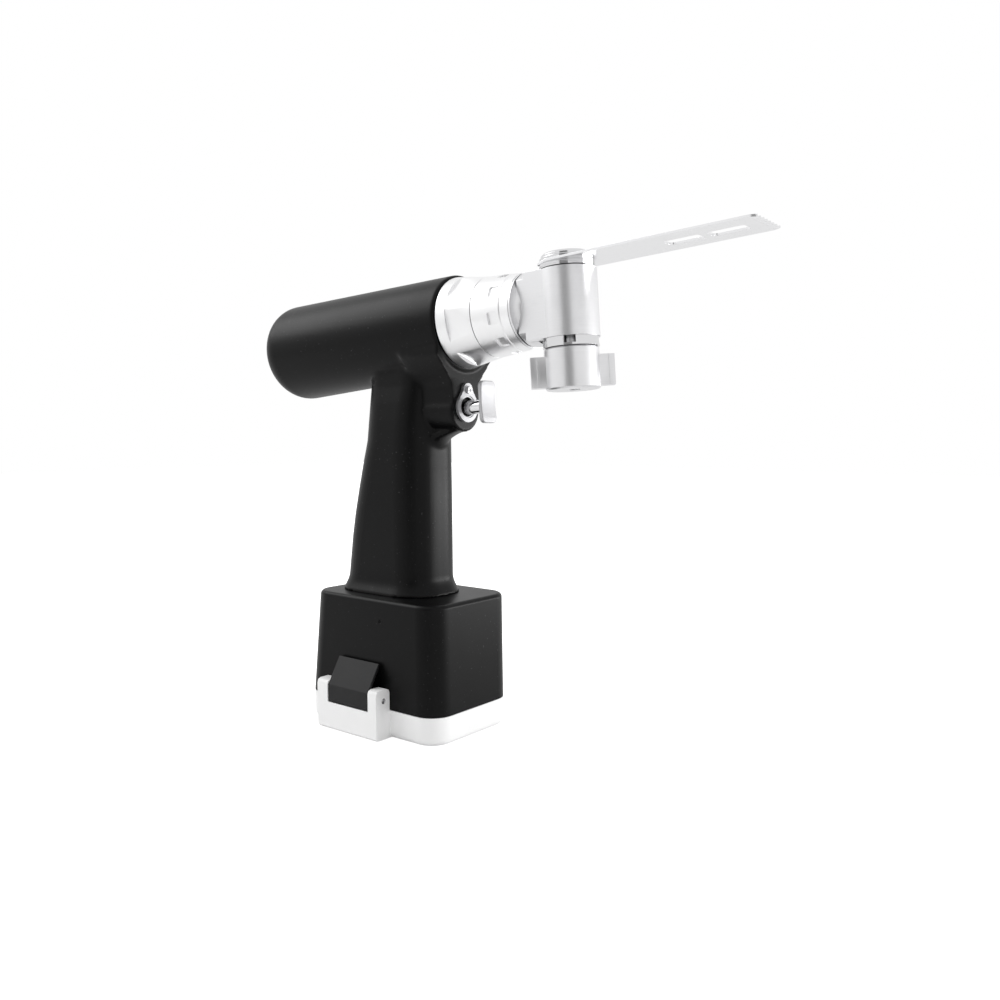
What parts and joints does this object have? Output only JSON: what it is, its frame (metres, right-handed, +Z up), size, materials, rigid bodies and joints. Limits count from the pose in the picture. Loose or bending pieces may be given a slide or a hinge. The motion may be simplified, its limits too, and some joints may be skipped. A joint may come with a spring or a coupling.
{
  "type": "surgical_oscillating_saw",
  "caption": "Cordless surgical oscillating saw with black pistol body, satin steel saw head, long blade and white battery cover",
  "frame": {"origin": "centre of the base face of the battery cover", "axes": "+X towards the blade's teeth, +Z up, latch on -Y"},
  "size_m": [0.2852, 0.0732, 0.2326],
  "materials": {
    "black_shell": "fine matt black polymer with tiny pale flecks, soft sheen",
    "white_cover": "smooth white polymer",
    "satin_steel": "satin blasted stainless steel",
    "pale_steel": "pale, finely blasted stainless steel",
    "turned_steel": "fine turned stainless steel",
    "polished_steel": "bright polished steel",
    "blade_steel": "plain ground blade steel",
    "dark_polymer": "dark glass-filled polymer",
    "seal_rubber": "black sealing rubber",
    "winding": "lacquered copper wire and laminations",
    "magnet_steel": "dark magnet steel",
    "board_green": "green solder mask",
    "contact_gold": "gilt contact metal",
    "cell_wrap": "plastic-wrapped cells"
  },
  "bodies": {
    "handpiece": {"handpiece_body": "black_shell", "rear_cap": "satin_steel", "rear_cap_seal": "seal_rubber", "motor_can": "turned_steel", "motor_rear_plate": "turned_steel", "stator": "winding", "motor_bearing_front": "polished_steel", "motor_bearing_rear": "polished_steel", "nose_socket": "turned_steel", "locking_balls": "polished_steel", "guide_plate": "satin_steel", "guide_plate_screw": "polished_steel", "trigger_bush": "dark_polymer", "trigger_spring": "polished_steel", "trigger_sensor": "dark_polymer", "control_board": "board_green", "battery_housing": "black_shell", "housing_screws": "polished_steel", "contact_block": "dark_polymer", "contact_pins": "contact_gold", "battery_case": "dark_polymer", "battery_lid": "dark_polymer", "battery_cells": "cell_wrap", "battery_contacts": "contact_gold", "cover_hinge_pin": "polished_steel"},
    "drive": {"rotor": "magnet_steel", "motor_shaft": "turned_steel", "coupling": "turned_steel", "drive_shaft": "turned_steel", "crank_bearing": "polished_steel"},
    "lock_collar": {"lock_ring": "pale_steel"},
    "saw_head": {"head_sleeve": "pale_steel", "head_housing": "turned_steel", "head_seal": "seal_rubber", "shaft_bearing_rear": "polished_steel", "shaft_bearing_front": "polished_steel", "spindle_bearing_upper": "polished_steel", "spindle_bearing_lower": "polished_steel", "neck_nut": "polished_steel"},
    "oscillator": {"spindle": "turned_steel", "fork": "turned_steel", "blade_flange": "polished_steel", "blade": "blade_steel"},
    "clamp": {"clamp_cap": "polished_steel", "draw_bolt": "polished_steel"},
    "clamp_knob": {"knob": "turned_steel"},
    "trigger": {"trigger_stem": "turned_steel", "finger_pad": "satin_steel"},
    "cover": {"battery_cover": "white_cover", "cover_seal": "seal_rubber", "latch_pin": "polished_steel"},
    "latch": {"latch_flap": "black_shell"}
  },
  "joints": [
    {"name": "drive_spin", "type": "hinge", "parent": "handpiece", "child": "drive", "pos_m": [0.0001, 0, 0.20041], "axis": [0.9974, 0, 0.0722], "continuous": true},
    {"name": "head_index", "type": "hinge", "parent": "handpiece", "child": "saw_head", "pos_m": [0.06992, 0, 0.20547], "axis": [0.9974, 0, 0.0722], "continuous": true},
    {"name": "lock_ring_turn", "type": "hinge", "parent": "handpiece", "child": "lock_collar", "pos_m": [0.04997, 0, 0.20402], "axis": [0.9974, 0, 0.0722], "range_deg": [0, 30], "stiffness_Nm_per_rad": 0.4},
    {"name": "blade_swing", "type": "hinge", "parent": "saw_head", "child": "oscillator", "pos_m": [0.10124, 0, 0.20773], "axis": [-0.0722, 0, 0.9974], "range_deg": [-5, 0]},
    {"name": "clamp_lift", "type": "slide", "parent": "oscillator", "child": "clamp", "axis": [-0.0722, 0, 0.9974], "range_m": [0, 0.0015]},
    {"name": "knob_turn", "type": "hinge", "parent": "oscillator", "child": "clamp_knob", "pos_m": [0.10341, 0, 0.17781], "axis": [-0.0722, 0, 0.9974], "range_deg": [0, 360]},
    {"name": "trigger_pull", "type": "slide", "parent": "handpiece", "child": "trigger", "axis": [-0.9974, 0, -0.0722], "range_m": [0, 0.007], "stiffness_N_per_m": 500, "deforming": ["trigger_spring"]},
    {"name": "cover_swing", "type": "hinge", "parent": "handpiece", "child": "cover", "pos_m": [0, 0.031, 0.01415], "axis": [1, 0, 0], "range_deg": [0, 95]},
    {"name": "latch_swing", "type": "hinge", "parent": "cover", "child": "latch", "pos_m": [-0.0036, -0.0341, 0.0194], "axis": [1, 0, 0], "range_deg": [0, 35], "stiffness_Nm_per_rad": 0.05}
  ],
  "couplings": [
    {"joint": "clamp_lift", "follows": "knob_turn", "m_per_rad": 0.00023873}
  ]
}
